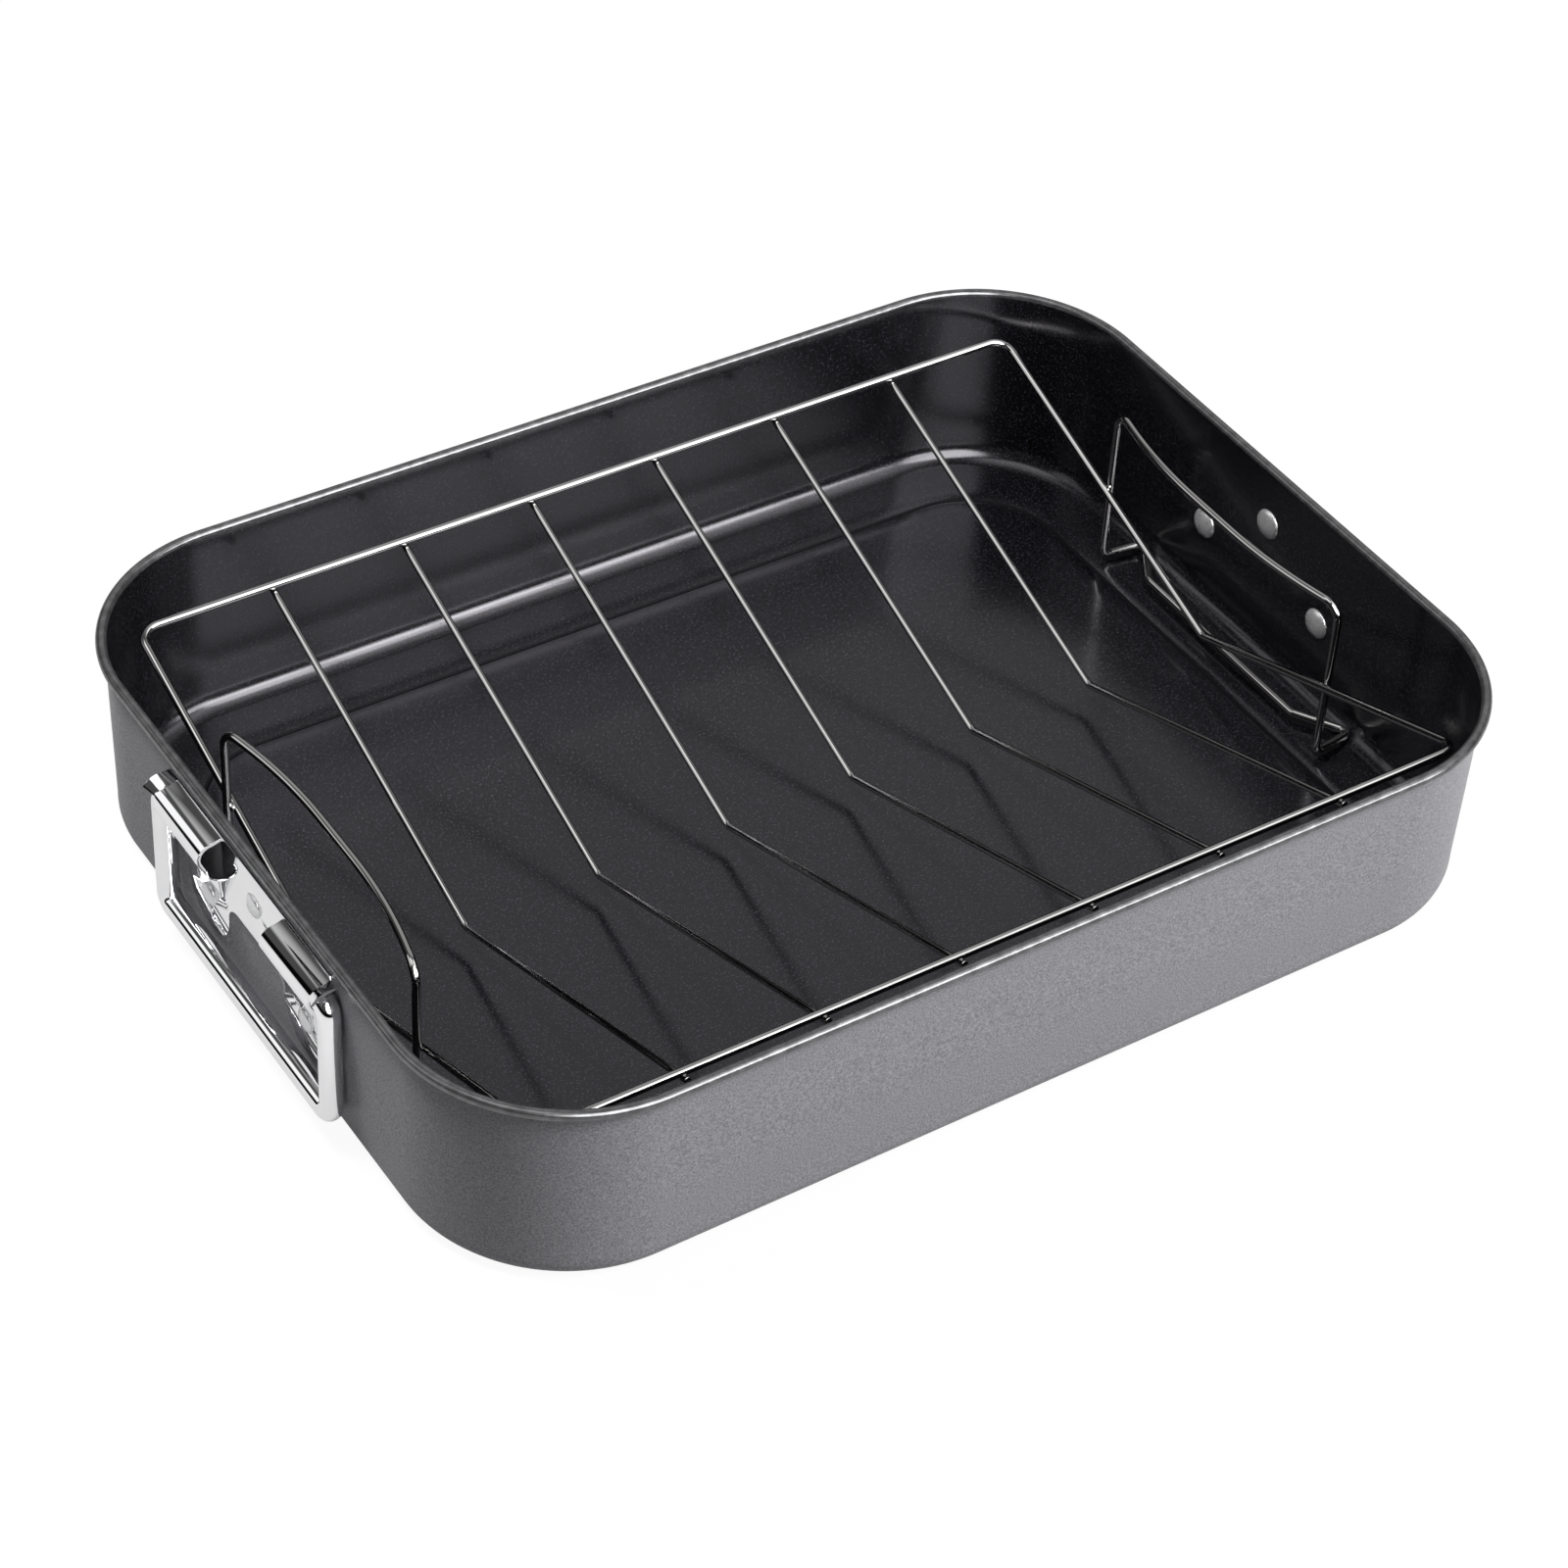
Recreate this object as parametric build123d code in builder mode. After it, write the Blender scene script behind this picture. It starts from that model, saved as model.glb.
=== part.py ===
from build123d import *

import math
import os

# A rectangular roasting pan with a wire V rack, and a riveted bracket with a drop bail at each end.
# Millimetres. X runs along the pan, Y across it and Z up, from the centre of the flat underside.

# The drawn sheet pan
pan_length = 406.0
pan_width = 307.0
pan_height = 76.0
pan_sheet = 0.9
pan_draft = 1.0
rim_bead_radius = 1.85
rim_corner_radius = 61.0
rim_seam_angle = 20.0
floor_edge_radius = 8.0
floor_line_inset = 25.0
floor_line_width = 1.5
floor_line_depth = 0.35
floor_line_corner_radius = 35.0

# The stamped bracket on each end wall
bracket_sheet = 1.2
bracket_top = 66.0
bracket_shoulder = 39.5
lobe_radius = 14.0
notch_radius = 7.0
shoulder_radius = 4.0
bracket_corner_radius = 1.5
hood_inner_end = 21.0
hood_root = 37.0
hood_mouth_length = 5.0
hood_mouth_flare = 2.2
hood_mouth_angle = 35.0

# The rivets through bracket and wall
rivet_spacing = 66.0
rivet_low = 32.0
rivet_high = 54.0
rivet_shank_radius = 2.4
rivet_inner_head_radius = 5.7
rivet_inner_head_height = 2.2
rivet_outer_head_radius = 4.3
rivet_outer_head_height = 1.4
rivet_hole_clearance = 0.05

# The bail, a round bar whose two inturned ends turn in the hoods
bail_radius = 3.9
bail_span = 112.5
bail_drop = 46.4
bail_bend_radius = 4.4
bail_end_gap = 56.0
bail_end_chamfer = 0.8
bail_wall_gap = 0.4
bail_hood_clearance = 0.35
hinge_height = 59.4

# The wire rack
frame_wire_radius = 1.5
rib_wire_radius = 1.25
end_wire_radius = 1.5
weld_sink = 0.4
rack_length = 352.0
rack_width = 265.4
rack_depth = 47.5
rack_rise = 7.9
frame_corner_radius = 7.0
frame_vee_radius = 4.0
rib_count = 6
rib_tip_overhang = 1.5

# The closed wire loop at each end of the rack, with its grip above and its foot below
foot_clearance = 0.3
foot_contact_angle = 49.0
foot_leg_bend_radius = 3.4
foot_stub_face = 3.2
foot_stub_bend_radius = 2.3
foot_stub_inset = 1.8
foot_hook_depth = 10.0
foot_run_length = 86.0
foot_run_bend_radius = 5.0
leg_spacing = 128.0
grip_rise = 65.0
grip_bow = 7.0
grip_bow_radius = 200.0
grip_corner_radius = 7.0

# The wall leans out by its draft from the underside to the middle of the rim bead
wall_height = pan_height - rim_bead_radius
wall_angle = math.degrees(math.atan2(pan_draft, wall_height))
bead_half_length = pan_length / 2 - rim_bead_radius
bead_half_width = pan_width / 2 - rim_bead_radius
bead_corner_radius = rim_corner_radius - rim_bead_radius
bottom_length = 2 * (bead_half_length - rim_bead_radius + pan_sheet - pan_draft)
bottom_width = 2 * (bead_half_width - rim_bead_radius + pan_sheet - pan_draft)
bottom_corner_radius = bead_corner_radius - rim_bead_radius + pan_sheet - pan_draft
floor_line_length = bottom_length - 2 * pan_sheet - 2 * floor_line_inset
floor_line_breadth = bottom_width - 2 * pan_sheet - 2 * floor_line_inset

# Rivet places on an end wall, as distance along Y and height up the wall
rivet_places = {
    "back": (rivet_spacing / 2, rivet_low),
    "centre": (0, rivet_high),
    "front": (-rivet_spacing / 2, rivet_low),
}

# The bail ends turn on an axis that stands off the end wall
hinge_out = bail_wall_gap + bail_radius
hood_outer_end = bail_span / 2 - bail_radius - bail_hood_clearance
hood_mouth_end = hood_outer_end + hood_mouth_length
hood_cap_radius = bail_radius + bail_hood_clearance + bracket_sheet
hood_top = hinge_height + hood_cap_radius
hood_reach = math.hypot(hinge_out, hinge_height - hood_root)
hood_line_angle = math.atan2(hinge_height - hood_root, hinge_out)
hood_slope = hood_line_angle - math.asin(hood_cap_radius / hood_reach)
hood_inner_root = hood_root + bracket_sheet / math.cos(hood_slope)
mouth_reach = 3 * hood_cap_radius
mouth_rise = mouth_reach * math.tan(math.radians(hood_mouth_angle))

# The feet of the rack stand in the rounded edge of the pan's floor
foot_reach = floor_edge_radius - pan_sheet - end_wire_radius - foot_clearance
foot_stub_out = foot_reach * math.cos(math.radians(foot_contact_angle))
foot_stub_x = bottom_length / 2 - floor_edge_radius + foot_stub_out
foot_z = floor_edge_radius - foot_reach * math.sin(math.radians(foot_contact_angle))
vee_z = foot_z + rack_rise
rail_z = vee_z + rack_depth
rib_pitch = rack_length / (rib_count + 1)
leg_x = rack_length / 2 + frame_wire_radius + end_wire_radius - weld_sink
vee_angle = math.atan2(rack_depth, rack_width / 2)

ends = {"left": -1, "right": 1}


def end_plane(side):
    """The outer face of an end wall: X along the wall, Y up it and Z straight out of it."""
    lean = math.radians(wall_angle)
    return Plane(
        origin=(side * bottom_length / 2, 0, 0),
        x_dir=(0, side, 0),
        z_dir=(side * math.cos(lean), 0, -math.sin(lean)),
    )


def hood_plane(side, start):
    """A plane square to the hinge axis, with X straight out of the end wall and Y up it."""
    wall = end_plane(side)
    return Plane(
        origin=wall.from_local_coords((start, 0, 0)),
        x_dir=wall.z_dir,
        z_dir=-wall.x_dir,
    )


def rivet_hole_sketch(side):
    """The three rivet holes of one end, drawn on its wall."""
    with BuildSketch(end_plane(side)) as holes:
        with Locations(*rivet_places.values()):
            Circle(rivet_shank_radius + rivet_hole_clearance)
    return holes.sketch


# The pan: a drawn box with leaning walls, a rounded floor edge and a hollow rim rolled outwards
with BuildLine() as rim_path:
    FilletPolyline(
        (0, bead_half_width, wall_height),
        (bead_half_length, bead_half_width, wall_height),
        (bead_half_length, -bead_half_width, wall_height),
        (0, -bead_half_width, wall_height),
        radius=bead_corner_radius,
    )

seam_reach = 2 * rim_bead_radius
seam_foot = -seam_reach * math.tan(math.radians(rim_seam_angle))
with BuildSketch(Plane.YZ) as rim_section:
    with Locations((bead_half_width, wall_height)):
        Circle(rim_bead_radius)
        Circle(rim_bead_radius - pan_sheet, mode=Mode.SUBTRACT)
        Polygon(
            (0, 0),
            (-seam_reach, 0),
            (-seam_reach, -seam_reach),
            (seam_foot, -seam_reach),
            align=None,
            mode=Mode.SUBTRACT,
        )

# The space in the pan keeps one sheet from the outside, measured square to the leaning wall
space_inset = pan_sheet / math.cos(math.radians(wall_angle)) - pan_sheet * pan_draft / wall_height
with BuildPart() as pan_space:
    with BuildSketch(Plane.XY.offset(pan_sheet)):
        RectangleRounded(
            bottom_length - 2 * space_inset,
            bottom_width - 2 * space_inset,
            bottom_corner_radius - space_inset,
        )
    extrude(amount=wall_height - pan_sheet, taper=-wall_angle)
    fillet(pan_space.faces().sort_by(Axis.Z)[0].edges(), radius=floor_edge_radius - pan_sheet)

with BuildPart() as pan:
    with BuildSketch(Plane.XY):
        RectangleRounded(bottom_length, bottom_width, bottom_corner_radius)
    extrude(amount=wall_height, taper=-wall_angle)
    fillet(pan.faces().sort_by(Axis.Z)[0].edges(), radius=floor_edge_radius)
    add(pan_space.part, mode=Mode.SUBTRACT)
    # The thin line stamped into the floor
    with BuildSketch(Plane.XY.offset(pan_sheet)):
        RectangleRounded(floor_line_length, floor_line_breadth, floor_line_corner_radius)
        offset(amount=-floor_line_width, mode=Mode.SUBTRACT)
    extrude(amount=-floor_line_depth, mode=Mode.SUBTRACT)
    # The rolled rim, whose edge stops just short of the wall
    half_rim = sweep(sections=rim_section.sketch, path=rim_path.wire(), mode=Mode.PRIVATE)
    add(half_rim)
    mirror(half_rim, about=Plane.YZ)
    for side in ends.values():
        extrude(rivet_hole_sketch(side), amount=bracket_sheet, both=True, mode=Mode.SUBTRACT)
pan.part.label = "pan"
parts_made = [pan.part]


def hood_sketch(side, start, cap_radius, root, top):
    """The section of a hood: the hull of a round cap on the hinge axis and a strip behind the wall's face."""
    with BuildSketch(hood_plane(side, start)) as section:
        with Locations((hinge_out, hinge_height)):
            Circle(cap_radius)
        with Locations((-bracket_sheet / 2, (root + top) / 2)):
            Rectangle(bracket_sheet, top - root)
        make_hull()
    return section.sketch


def add_hood_mouths(side, inset, mode):
    """The flared end of each hood's roof, which reaches out over the corner of the bail."""
    cap_radius = hood_cap_radius - inset
    root = hood_inner_root if inset else hood_root
    for along in (1, -1):
        with BuildPart(mode=Mode.PRIVATE) as mouth:
            hood_sections = [
                hood_sketch(side, along * hood_outer_end, cap_radius, root, hood_top - inset),
                hood_sketch(
                    side,
                    along * hood_mouth_end,
                    cap_radius + hood_mouth_flare,
                    root,
                    hood_top - inset + hood_mouth_flare,
                ),
            ]
            loft(hood_sections)
        add(mouth.part, mode=mode)


def corner_near(vertex, along, up):
    """Whether a corner of the bracket's outline, or its mirror image, is the one at this place."""
    return abs(abs(vertex.X) - along) < bracket_sheet and abs(vertex.Y - up) < bracket_sheet


def make_bracket(side):
    """A stamped plate with two round lobes below, and two open hoods raised from it over the bail's ends."""
    lobe_out = rivet_spacing / 2
    shoulder_middle = (bracket_shoulder + rivet_low) / 2
    with BuildPart() as bracket:
        with BuildSketch(end_plane(side)) as outline:
            with Locations((0, (bracket_top + bracket_shoulder) / 2)):
                Rectangle(2 * hood_outer_end, bracket_top - bracket_shoulder)
            with Locations((-lobe_out, rivet_low), (lobe_out, rivet_low)):
                Circle(lobe_radius)
            with Locations((-lobe_out, shoulder_middle), (lobe_out, shoulder_middle)):
                Rectangle(2 * lobe_radius, bracket_shoulder - rivet_low)
            corners = outline.vertices()
            inner = [v for v in corners if corner_near(v, lobe_out - lobe_radius, bracket_shoulder)]
            outer = [v for v in corners if corner_near(v, lobe_out + lobe_radius, bracket_shoulder)]
            fillet(inner, radius=notch_radius)
            fillet(outer, radius=shoulder_radius)
            corners = outline.vertices()
            upper = [v for v in corners if corner_near(v, hood_outer_end, bracket_top)]
            fillet(upper, radius=bracket_corner_radius)
        extrude(amount=bracket_sheet)
        # Each hood's outside is a round cap over the bail's end with a flat top and a sloping underside
        for start in (hood_outer_end, -hood_inner_end):
            extrude(
                hood_sketch(side, start, hood_cap_radius, hood_root, hood_top),
                amount=hood_outer_end - hood_inner_end,
            )
        add_hood_mouths(side, 0, Mode.ADD)
        # What lies behind the wall's face is cut off again
        split(bisect_by=end_plane(side), keep=Keep.TOP)
        # The space under each hood, one sheet further in, which also opens the plate behind it
        for start in (hood_outer_end, -hood_inner_end):
            extrude(
                hood_sketch(
                    side,
                    start,
                    hood_cap_radius - bracket_sheet,
                    hood_inner_root,
                    hood_top - bracket_sheet,
                ),
                amount=hood_outer_end - hood_inner_end,
                mode=Mode.SUBTRACT,
            )
        add_hood_mouths(side, bracket_sheet, Mode.SUBTRACT)
        # Below the roof the mouths are cut away, so that the bail's legs swing out past them
        for along in (1, -1):
            with BuildSketch(hood_plane(side, along * hood_outer_end)):
                Polygon(
                    (-mouth_reach, hinge_height),
                    (hinge_out, hinge_height),
                    (hinge_out + mouth_reach, hinge_height + mouth_rise),
                    (hinge_out + mouth_reach, 0),
                    (-mouth_reach, 0),
                    align=None,
                )
            extrude(amount=-along * 2 * hood_mouth_length, mode=Mode.SUBTRACT)
        extrude(rivet_hole_sketch(side), amount=2 * bracket_sheet, both=True, mode=Mode.SUBTRACT)
    return bracket


# The brackets, one on each end wall
for end_name, side in ends.items():
    bracket = make_bracket(side)
    bracket.part.label = end_name + "_bracket"
    parts_made.append(bracket.part)


def dome_radius(edge_radius, height):
    """The ball radius of a shallow domed head."""
    return (edge_radius**2 + height**2) / (2 * height)


def make_rivet(side, place):
    """A rivet turned about its own axis, with a domed head in the pan and a lower one on the bracket."""
    wall = end_plane(side)
    axis_plane = Plane(
        origin=wall.from_local_coords((place[0], place[1], 0)),
        x_dir=wall.x_dir,
        z_dir=-wall.y_dir,
    )
    inner_top = -pan_sheet - rivet_inner_head_height
    outer_top = bracket_sheet + rivet_outer_head_height
    with BuildPart() as rivet:
        with BuildSketch(axis_plane):
            with BuildLine():
                Polyline(
                    (0, outer_top),
                    (0, inner_top),
                )
                RadiusArc(
                    (0, inner_top),
                    (rivet_inner_head_radius, -pan_sheet),
                    -dome_radius(rivet_inner_head_radius, rivet_inner_head_height),
                )
                Polyline(
                    (rivet_inner_head_radius, -pan_sheet),
                    (rivet_shank_radius, -pan_sheet),
                    (rivet_shank_radius, bracket_sheet),
                    (rivet_outer_head_radius, bracket_sheet),
                )
                RadiusArc(
                    (rivet_outer_head_radius, bracket_sheet),
                    (0, outer_top),
                    -dome_radius(rivet_outer_head_radius, rivet_outer_head_height),
                )
            make_face()
        revolve(axis=Axis(axis_plane.origin, wall.z_dir))
    return rivet


# The rivets, three at each end
for end_name, side in ends.items():
    for place_name, place in rivet_places.items():
        rivet = make_rivet(side, place)
        rivet.part.label = end_name + "_rivet_" + place_name
        parts_made.append(rivet.part)


def make_bail(side):
    """A round bar bent to a wide drop handle, with two short ends turned in on the hinge axis."""
    hinge = hood_plane(side, 0).from_local_coords((hinge_out, hinge_height, 0))
    bar_z = hinge.Z - bail_drop
    with BuildLine() as bail_path:
        FilletPolyline(
            (hinge.X, 0, bar_z),
            (hinge.X, bail_span / 2, bar_z),
            (hinge.X, bail_span / 2, hinge.Z),
            (hinge.X, bail_end_gap / 2, hinge.Z),
            radius=bail_bend_radius,
        )
    with BuildPart() as bail:
        with BuildSketch(Plane.XZ):
            with Locations((hinge.X, bar_z)):
                Circle(bail_radius)
        sweep(path=bail_path.wire())
        chamfer(bail.faces().filter_by(Axis.Y).sort_by(Axis.Z)[-1].edges(), length=bail_end_chamfer)
        mirror(about=Plane.XZ)
    return bail


# The bails, which hang straight down
for end_name, side in ends.items():
    bail = make_bail(side)
    bail.part.label = end_name + "_bail"
    parts_made.append(bail.part)


# The rack's frame: one wire bent round both long sides and down into a V at both ends
with BuildLine() as frame_path:
    FilletPolyline(
        (0, rack_width / 2, rail_z),
        (rack_length / 2, rack_width / 2, rail_z),
        (rack_length / 2, 0, vee_z),
        (rack_length / 2, -rack_width / 2, rail_z),
        (0, -rack_width / 2, rail_z),
        radius=[frame_corner_radius, frame_vee_radius, frame_corner_radius],
    )

with BuildPart() as rack_frame:
    with BuildSketch(Plane.YZ):
        with Locations((rack_width / 2, rail_z)):
            Circle(frame_wire_radius)
    sweep(path=frame_path.wire())
    mirror(about=Plane.YZ)
rack_frame.part.label = "rack_frame"
parts_made.append(rack_frame.part)


def make_rib(x):
    """A thinner wire bent to the same V and welded under both long sides, its tips just outside them."""
    wire_step = frame_wire_radius + rib_wire_radius - weld_sink
    rib_vee_z = vee_z - wire_step / math.cos(vee_angle)
    tip_y = rack_width / 2 + frame_wire_radius + rib_tip_overhang
    tip_z = rib_vee_z + tip_y * math.tan(vee_angle)
    with BuildLine() as rib_path:
        FilletPolyline(
            (x, -tip_y, tip_z),
            (x, 0, rib_vee_z),
            (x, tip_y, tip_z),
            radius=frame_vee_radius,
        )
    with BuildPart() as rib:
        along = Vector(0, math.cos(vee_angle), -math.sin(vee_angle))
        with BuildSketch(Plane(origin=(x, -tip_y, tip_z), x_dir=(1, 0, 0), z_dir=along)):
            Circle(rib_wire_radius)
        sweep(path=rib_path.wire())
    return rib


# The ribs, evenly spaced between the two ends of the frame, numbered from the left
for number in range(1, rib_count + 1):
    rib = make_rib(-rack_length / 2 + number * rib_pitch)
    rib.part.label = "rack_rib_" + str(number)
    parts_made.append(rib.part)


def make_rack_end(side):
    """A closed wire loop welded outside the V: a bowed grip, two legs and a foot bent out to the wall."""
    grip_z = foot_z + grip_rise
    leg_y = leg_spacing / 2
    run_x = foot_stub_x - foot_hook_depth
    with BuildLine() as end_path:
        FilletPolyline(
            (side * (leg_x - grip_bow), 0, grip_z),
            (side * (leg_x - grip_bow), leg_y / 2, grip_z),
            (side * leg_x, leg_y, grip_z),
            (side * leg_x, leg_y, foot_z),
            (side * foot_stub_x, leg_y - foot_stub_inset, foot_z),
            (side * foot_stub_x, leg_y - foot_stub_inset - foot_stub_face, foot_z),
            (side * run_x, foot_run_length / 2, foot_z),
            (side * run_x, 0, foot_z),
            radius=[
                grip_bow_radius,
                grip_corner_radius,
                foot_leg_bend_radius,
                foot_stub_bend_radius,
                foot_stub_bend_radius,
                foot_run_bend_radius,
            ],
        )
    with BuildPart() as rack_end:
        with BuildSketch(Plane.XZ):
            with Locations((side * (leg_x - grip_bow), grip_z)):
                Circle(end_wire_radius)
        sweep(path=end_path.wire())
        mirror(about=Plane.XZ)
    return rack_end


# The end loops of the rack
for end_name, side in ends.items():
    rack_end = make_rack_end(side)
    rack_end.part.label = "rack_end_" + end_name
    parts_made.append(rack_end.part)


os.makedirs("parts", exist_ok=True)
for piece in parts_made:
    export_step(piece, "parts/" + piece.label + ".step")
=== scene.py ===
"""A roasting pan with a wire V rack and drop bails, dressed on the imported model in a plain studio."""

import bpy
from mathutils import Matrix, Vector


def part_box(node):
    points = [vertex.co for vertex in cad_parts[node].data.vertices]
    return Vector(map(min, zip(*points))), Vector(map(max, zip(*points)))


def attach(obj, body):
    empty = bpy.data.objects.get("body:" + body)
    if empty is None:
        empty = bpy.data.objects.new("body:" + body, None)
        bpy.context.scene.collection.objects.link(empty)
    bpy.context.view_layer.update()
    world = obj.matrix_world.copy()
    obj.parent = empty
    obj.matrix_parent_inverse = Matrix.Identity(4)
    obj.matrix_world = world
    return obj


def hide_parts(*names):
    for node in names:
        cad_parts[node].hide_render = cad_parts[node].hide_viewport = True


bl_info = {
    "name": "Roasting pan with V rack",
    "version": (1, 0, 0),
    "blender": (4, 5, 0),
    "location": "View3D > Sidebar > Roaster",
    "description": "Builds a roasting pan's shell, rack, brackets, bails and rivets, and a plain studio",
    "category": "Object",
}

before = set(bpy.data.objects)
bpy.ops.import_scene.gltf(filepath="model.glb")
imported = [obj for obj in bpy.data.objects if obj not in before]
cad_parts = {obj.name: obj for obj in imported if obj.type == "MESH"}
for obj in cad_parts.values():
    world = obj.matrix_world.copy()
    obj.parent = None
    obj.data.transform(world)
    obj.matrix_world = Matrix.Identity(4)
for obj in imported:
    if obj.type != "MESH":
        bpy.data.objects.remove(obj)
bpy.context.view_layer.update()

import math

import bmesh
import bpy
import numpy as np
from mathutils import Matrix, Vector

MM = 0.001
ENDS = {"left": -1, "right": 1}

# What the dressed pieces follow: the whole box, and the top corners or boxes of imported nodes, in metres
PAN_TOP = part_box("pan")[1]
RAIL_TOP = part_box("rack_frame")[1]
BAIL_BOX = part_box("right_bail")
BRACKET_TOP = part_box("right_bracket")[1]


def length(name, description, size):
    """A length that a user may change, given in millimetres."""
    return bpy.props.FloatProperty(name=name, description=description, default=size * MM, unit="LENGTH")


def colour(name, description, red, green, blue):
    """A colour that a user may change, given as the shader takes it."""
    default = (red, green, blue)
    return bpy.props.FloatVectorProperty(
        name=name, description=description, subtype="COLOR", size=3, default=default
    )


class RoasterSizes(bpy.types.PropertyGroup):
    """Sizes of the dressed pan, rack and handles."""

    sheet: length("Pan sheet", "Thickness of the drawn sheet", 0.9)
    draft: length("Draft", "How far each wall leans out from floor to rim", 1.0)
    bead: length("Rim bead radius", "Outer radius of the rolled rim", 1.85)
    rim_corner: length("Rim corner radius", "Corner radius over the outside of the rim", 61.0)
    floor_edge: length("Floor edge radius", "Outer radius between floor and wall", 8.0)
    line_inset: length("Floor line inset", "Distance of the stamped line from the wall", 25.0)
    line_width: length("Floor line width", "Width of the stamped line", 1.2)
    line_depth: length("Floor line depth", "Depth of the stamped line", 0.45)
    line_corner: length("Floor line corner radius", "Corner radius of the stamped line", 35.0)

    frame_wire: length("Frame wire radius", "Radius of the rack's frame wire", 1.5)
    rail_bend: length("Rail bend radius", "Bend of the frame where rails and ends meet", 7.0)
    vee_depth: length("V depth", "How far the bottom of the V lies below the rails", 47.5)
    vee_bend: length("V bend radius", "Bend at the bottom of the frame's and the ribs' V", 4.0)
    rib_wire: length("Rib wire radius", "Radius of the rack's ribs", 1.25)
    rib_overhang: length("Rib overhang", "How far the ribs run on past the rails", 1.5)
    rib_end_edge: length("Rib end edge", "Rounding of the ribs' cut ends", 0.3)
    weld_bite: length("Weld bite", "How far a rib is sunk in the frame wire by its weld", 0.4)

    end_wire: length("End wire radius", "Radius of the rack's end loops", 1.5)
    leg_setback: length("Leg setback", "How far an end loop's legs stand in from its toes", 16.08)
    grip_bow: length("Grip bow", "How far a grip bows in towards the middle of the pan", 7.0)
    grip_bow_bend: length("Grip bow radius", "Bend of the bowed part of a grip", 200.0)
    grip_bend: length("Grip bend radius", "Bend between a grip and a leg", 7.0)
    foot_bend: length("Foot bend radius", "Bend between a leg and its foot", 3.4)
    toe_outer: length("Toe's outer side", "How far a toe's outer side lies in from the leg", 1.8)
    toe_inner: length("Toe's inner side", "How far a toe's inner side lies in from the leg", 5.0)
    toe_bend: length("Toe bend radius", "Both bends at the tip of a toe", 2.3)
    foot_bar_setback: length("Foot bar setback", "How far a foot bar lies in from the toes", 10.0)
    foot_bar_half: length("Foot bar half length", "Distance of a foot bar's ends from its middle", 43.0)
    foot_bar_bend: length("Foot bar bend radius", "Bends at the ends of a foot bar", 5.0)

    stamped_edge: length("Stamped edge", "Rounding of the bracket's edges", 0.25)
    bracket_sheet: length("Bracket sheet", "Thickness of the brackets", 1.2)
    hinge_out: length("Hinge distance", "Distance of the hinge axis from the wall", 4.3)
    hood_start: length("Hood start", "Where the hoods begin, from the bracket's middle", 21.0)
    hood_root: length("Hood root", "Height up the wall where the hoods' undersides begin", 37.0)
    underside_slope: bpy.props.FloatProperty(
        name="Underside slope",
        description="How far the hoods' undersides stand out for each unit of height",
        default=0.461,
    )
    web_bottom: length("Web bottom", "Height up the wall where the hoods' webs begin", 39.8)
    web_top: length("Web top", "Height up the wall where the hoods' bores open", 52.0)
    web_sink: length("Web sink", "How far the webs run into the plate", 0.3)
    web_overlap: length("Web overlap", "How far the webs run into the hoods", 0.3)
    roof_pitch: length("Roof pitch", "How much higher the hoods' roofs are at the wall", 1.3)
    roof_margin: length("Roof margin", "How far short of the hoods' start the pitch begins", 1.0)

    rivet_head: length("Inner rivet head", "Radius of the rivet heads in the pan", 5.7)
    rivet_dome: length("Inner rivet dome", "Height of the rivet heads in the pan", 2.2)
    rivet_low_head: length("Outer rivet head", "Radius of the rivet heads on the brackets", 4.3)
    rivet_low_dome: length("Outer rivet dome", "Height of the rivet heads on the brackets", 1.4)
    rivet_shank: length("Rivet shank radius", "Radius of the rivets between their heads", 2.4)

    bail_bar: length("Bail bar radius", "Radius of the bail's round bar", 3.9)
    bail_bend: length("Bail bend radius", "Centre-line radius of the bail's corners", 4.4)
    bail_tip: length("Bail tip", "Distance of the bail's inturned ends from its middle", 28.0)
    bail_end_edge: length("Bail end edge", "Rounding of the bail's cut ends", 0.8)


class RoasterColours(bpy.types.PropertyGroup):
    """Colours of the pan, the wires and the handles."""

    outside: colour("Outside coat", "Colour of the speckled coat outside the pan", 0.262, 0.258, 0.275)
    lining: colour("Lining", "Colour of the non-stick lining", 0.0045, 0.0043, 0.0054)
    rim: colour("Rim", "Colour of the rubbed coat on the rolled rim", 0.13, 0.13, 0.134)
    chrome: colour("Chrome", "Colour of the plated brackets and bails", 0.86, 0.86, 0.87)
    wire: colour("Rack wire", "Colour of the plated rack wire", 0.44, 0.435, 0.43)
    rivet: colour("Rivets", "Colour of the rivet heads", 0.78, 0.78, 0.79)


def sizes():
    """The sizes as they are set now."""
    return bpy.context.scene.roaster_sizes


def colours():
    """The colours as they are set now."""
    return bpy.context.scene.roaster_colours


# Surfaces

# Stations round each quarter of a rounded rectangle, and between two quarters
CORNER_STEPS = 40
SIDE_STEPS = 12
# Places round a wire and round the bail's thicker bar, and rings over the softened end of either
WIRE_SIDES = 20
BAIL_SIDES = 32
END_RINGS = 5
# A bend has at least so many stations, and a smaller turn than this, in radians, is none
LEAST_BEND_STEPS = 6
STRAIGHT = 1e-4
# The lean for a wire that lies in a plane square to the pan's length, as ribs and bails do
ACROSS = (1, 0, 0)


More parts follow.
